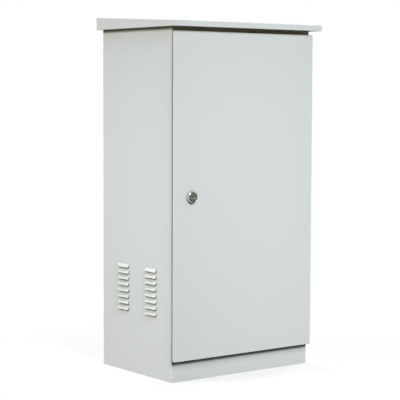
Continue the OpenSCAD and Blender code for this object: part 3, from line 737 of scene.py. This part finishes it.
class CABINET_OT_studs(bpy.types.Operator):
    """Thread the studs and the roof bolts"""
    bl_idname = "cabinet.studs"
    bl_label = "Studs and bolts"

    def execute(self, context):
        settings = context.scene.cabinet_fasteners
        for name, axis, body in (("gland_studs", Z, "cabinet"), ("mounting_studs", -Y, "cabinet"),
                                 ("body_earth_stud", X, "cabinet"), ("door_earth_stud", Y, "door")):
            bm = bmesh.new()
            for low, high in islands(name):
                size = high - low
                middle = (low + high) / 2
                length = abs(size.dot(axis))
                place = local_frame(middle - axis * length / 2, axis)
                thread(bm, sorted(size)[0] / 2, 0.0, length, place, settings)
            new_piece(name + "_threaded", bm, zinc_plate(), body, [name])
        bolt_r, overlap = 4.0 * MM, 0.5 * MM
        bm = bmesh.new()
        for low, high in islands("roof_bolts"):
            middle = (low + high) / 2
            corner_r = (high.x - low.x) / 2
            place = local_frame(Vector((middle.x, middle.y, low.z)), Z, X)
            hexagon(bm, corner_r, 0.0, settings.bolt_head, 0.0, place)
            thread(bm, bolt_r, settings.bolt_head - overlap, high.z - low.z, place, settings)
        new_piece("roof_bolts_threaded", bm, zinc_plate(), "cabinet", ["roof_bolts"])
        return {"FINISHED"}


class CABINET_OT_nuts(bpy.types.Operator):
    """Chamfer the hexagon nuts"""
    bl_idname = "cabinet.nuts"
    bl_label = "Nuts"

    def execute(self, context):
        # Name, number of the axis that the nut is screwed along, radius of its bore in mm, body
        rows = (("gland_nuts", 2, 3.0, "cabinet"), ("roof_nuts", 2, 4.0, "cabinet"),
                ("mounting_nuts", 1, 4.0, "cabinet"), ("body_earth_nuts", 0, 4.0, "cabinet"),
                ("door_earth_nuts", 1, 3.0, "door"), ("lock_nut", 1, 10.0, "door"))
        for name, axis, bore, body in rows:
            bm = bmesh.new()
            for low, high in islands(name):
                size = high - low
                across = sorted((i for i in range(3) if i != axis), key=lambda i: -size[i])[0]
                middle = (low + high) / 2
                along, corner = Vector(), Vector()
                along[axis], corner[across] = 1.0, 1.0
                hexagon(bm, size[across] / 2, -size[axis] / 2, size[axis] / 2, bore * MM,
                        local_frame(middle, along, corner))
            new_piece(name + "_chamfered", bm, zinc_plate(), body, [name])
        return {"FINISHED"}


class CABINET_OT_screws(bpy.types.Operator):
    """Shape the hinge screws and the cam screw, with domed heads and cross recesses"""
    bl_idname = "cabinet.screws"
    bl_label = "Screws"

    def execute(self, context):
        settings = context.scene.cabinet_fasteners
        overlap = 0.3 * MM
        rows = (("hinge_screws", -Y, settings.screw_head, 1.75 * MM, "cabinet"),
                ("cam_screw", Y, settings.cam_head, 2.5 * MM, "lock"))
        for name, axis, head, shank_r, body in rows:
            bm = bmesh.new()
            for low, high in islands(name):
                middle = (low + high) / 2
                length = high.y - low.y
                tip = middle - axis * length / 2
                head_r = (high.x - low.x) / 2
                place = local_frame(tip, axis, X)
                thread(bm, shank_r, 0.0, length - head + overlap, place, settings)
                self.head(bm, head_r, length - head, length, place)
            new_piece(name + "_shaped", bm, zinc_plate(), body, [name])
        return {"FINISHED"}

    def head(self, bm, radius, low, high, place):
        """A domed head whose middle is pressed in as a cross."""
        tall = high - low
        steps = 48
        # Shares of the radius and the height, from the middle of the underside over the rim to the dome
        dome = [(0.02, 0.0), (0.98, 0.0), (1.0, 0.12), (0.98, 0.45), (0.86, 0.78), (0.66, 0.96)]
        skirt = [(radius * u, low + tall * v) for u, v in dome]
        lines = []
        for k in range(steps):
            a = 2 * math.pi * k / steps
            arm = abs(math.cos(2 * a)) ** 6
            inner = radius * (0.16 + 0.36 * arm)
            recess = [(inner + 0.04 * radius, high), (inner, high - 0.1 * tall),
                      (0.8 * inner, high - 0.6 * tall), (0.1 * inner, high - 0.7 * tall)]
            lines.append([place @ polar(p[0], a, p[1]) for p in skirt + recess])
        skin_rings(bm, list(zip(*lines)))


class CABINET_OT_stage(bpy.types.Operator):
    """Set the white floor, the soft lamps and the camera at the photograph's angle"""
    bl_idname = "cabinet.stage"
    bl_label = "Stage"

    def execute(self, context):
        look = context.scene.cabinet_stage
        warm, cool, plain = (1.01, 1.0, 0.985), (0.98, 1.0, 1.035), (1.0, 1.0, 1.0)
        foot = (0, 0, 0)
        context.scene.view_settings.view_transform = "Standard"
        self.floor(look)
        self.sky(context.scene, look)
        self.lamp("left_lamp", look.left, look.left_place, look.left_aim, look, warm)
        self.lamp("front_lamp", look.front, look.front_place, look.front_aim, look, cool)
        for name, place in (("right_lamp", look.right_place), ("back_lamp", look.back_place)):
            self.lamp(name, look.fill, place, foot, look, plain)
        self.camera(context.scene, look)
        return {"FINISHED"}

    def white_ray(self, tree):
        """1 for a ray from the camera or off metal or through glass, and 0 for one that carries light."""
        path = node(tree, "LightPath")
        first = node(tree, "Math", operation="MAXIMUM")
        second = node(tree, "Math", operation="MAXIMUM")
        wire(tree, (path.outputs["Is Camera Ray"], first.inputs[0]),
             (path.outputs["Is Glossy Ray"], first.inputs[1]),
             (first.outputs[0], second.inputs[0]), (path.outputs["Is Transmission Ray"], second.inputs[1]))
        return second.outputs[0]

    def floor(self, look):
        """A floor that is white to the camera but for a pale shadow, and that gives back little light."""
        half_side, near, far = 30.0, 0.3, 0.8
        bm = bmesh.new()
        bmesh.ops.create_grid(bm, x_segments=1, y_segments=1, size=half_side)
        mesh = bpy.data.meshes.new("floor")
        bm.to_mesh(mesh)
        bm.free()
        made = bpy.data.materials.new("white_floor")
        made.use_nodes = True
        tree = made.node_tree
        tree.nodes.clear()
        lit = node(tree, "BsdfDiffuse", Color=(*look.floor, 1))
        shaded = node(tree, "BsdfDiffuse", Color=(*look.pale, 1))
        glow = node(tree, "Emission", Color=(1, 1, 1, 1), Strength=1.0)
        place = node(tree, "TexCoord")
        away = node(tree, "VectorMath", operation="LENGTH")
        fade = node(tree, "MapRange")
        for label, value in (("From Min", near), ("From Max", far), ("To Min", look.white), ("To Max", 1.0)):
            fade.inputs[label].default_value = value
        seen = node(tree, "MixShader")
        mix = node(tree, "MixShader")
        end = node(tree, "OutputMaterial")
        wire(tree, (place.outputs["Object"], away.inputs[0]), (away.outputs["Value"], fade.inputs["Value"]),
             (fade.outputs["Result"], seen.inputs["Fac"]), (shaded.outputs[0], seen.inputs[1]),
             (glow.outputs[0], seen.inputs[2]), (self.white_ray(tree), mix.inputs["Fac"]),
             (lit.outputs[0], mix.inputs[1]), (seen.outputs[0], mix.inputs[2]),
             (mix.outputs[0], end.inputs["Surface"]))
        mesh.materials.append(made)
        ground = bpy.data.objects.new("floor", mesh)
        bpy.context.scene.collection.objects.link(ground)
        ground.visible_shadow = False

    def sky(self, scene, look):
        """Even light from all round, seen as white."""
        world = bpy.data.worlds.new("studio")
        world.use_nodes = True
        tree = world.node_tree
        tree.nodes.clear()
        light = node(tree, "Background", Color=(*look.tint, 1), Strength=look.sky)
        white = node(tree, "Background", Color=(1, 1, 1, 1), Strength=1.0)
        mix = node(tree, "MixShader")
        end = node(tree, "OutputWorld")
        wire(tree, (self.white_ray(tree), mix.inputs["Fac"]), (light.outputs[0], mix.inputs[1]),
             (white.outputs[0], mix.inputs[2]), (mix.outputs[0], end.inputs["Surface"]))
        scene.world = world

    def lamp(self, name, power, place, aim, look, colour):
        """A soft square lamp behind a grid, aimed low so that the foot gets as much light as the top."""
        data = bpy.data.lights.new(name, "AREA")
        data.energy, data.size, data.spread, data.color = power, look.lamp_size, look.beam, colour
        made = bpy.data.objects.new(name, data)
        bpy.context.scene.collection.objects.link(made)
        made.visible_camera = False
        made.location = place
        made.rotation_mode = "QUATERNION"
        made.rotation_quaternion = (Vector(aim) - Vector(place)).to_track_quat("-Z", "Y")

    def camera(self, scene, look):
        """The camera at the photograph's place and angle."""
        frame_width, far = 36.0, 100.0
        ahead = Vector((math.sin(look.yaw) * math.cos(look.pitch), math.cos(look.yaw) * math.cos(look.pitch),
                        math.sin(look.pitch)))
        right = Vector((math.cos(look.yaw), -math.sin(look.yaw), 0))
        up = right.cross(ahead)
        turned = math.cos(look.roll) * right + math.sin(look.roll) * up
        top = -math.sin(look.roll) * right + math.cos(look.roll) * up
        data = bpy.data.cameras.new("camera")
        data.sensor_width, data.lens = frame_width, look.lens
        data.clip_end = far
        made = bpy.data.objects.new("camera", data)
        scene.collection.objects.link(made)
        facing = Matrix((turned, top, -ahead)).transposed().to_4x4()
        made.matrix_world = Matrix.Translation(look.place) @ facing
        scene.camera = made


class CABINET_PT_panel(bpy.types.Panel):
    """Finishes, fasteners and studio of the cabinet"""
    bl_idname = "CABINET_PT_panel"
    bl_label = "Utility cabinet"
    bl_space_type = "VIEW_3D"
    bl_region_type = "UI"
    bl_category = "Cabinet"

    def draw(self, context):
        for name, _ in SETTINGS:
            box = self.layout.box()
            values = getattr(context.scene, name)
            for prop in values.bl_rna.properties:
                if prop.identifier not in ("rna_type", "name"):
                    box.prop(values, prop.identifier)
        for operator in OPERATORS:
            self.layout.operator(operator.bl_idname)


SETTINGS = [("cabinet_paint", CabinetPaint), ("cabinet_metal", CabinetMetal), ("cabinet_seal", CabinetSeal),
            ("cabinet_fasteners", CabinetFasteners), ("cabinet_stage", CabinetStage)]
OPERATORS = [CABINET_OT_paint, CABINET_OT_metal, CABINET_OT_lock, CABINET_OT_seal, CABINET_OT_studs,
             CABINET_OT_nuts, CABINET_OT_screws, CABINET_OT_stage]


def register():
    """Registers the settings, the operators and the panel."""
    for name, kind in SETTINGS:
        bpy.utils.register_class(kind)
        setattr(bpy.types.Scene, name, PointerProperty(type=kind))
    for kind in OPERATORS + [CABINET_PT_panel]:
        bpy.utils.register_class(kind)


def unregister():
    """Takes them out again."""
    for kind in [CABINET_PT_panel] + OPERATORS[::-1]:
        bpy.utils.unregister_class(kind)
    for name, kind in SETTINGS[::-1]:
        delattr(bpy.types.Scene, name)
        bpy.utils.unregister_class(kind)


def main():
    """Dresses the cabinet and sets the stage."""
    register()
    bpy.ops.cabinet.paint()
    bpy.ops.cabinet.metal()
    bpy.ops.cabinet.lock()
    bpy.ops.cabinet.seal()
    bpy.ops.cabinet.studs()
    bpy.ops.cabinet.nuts()
    bpy.ops.cabinet.screws()
    bpy.ops.cabinet.stage()


if __name__ == "__main__":
    main()
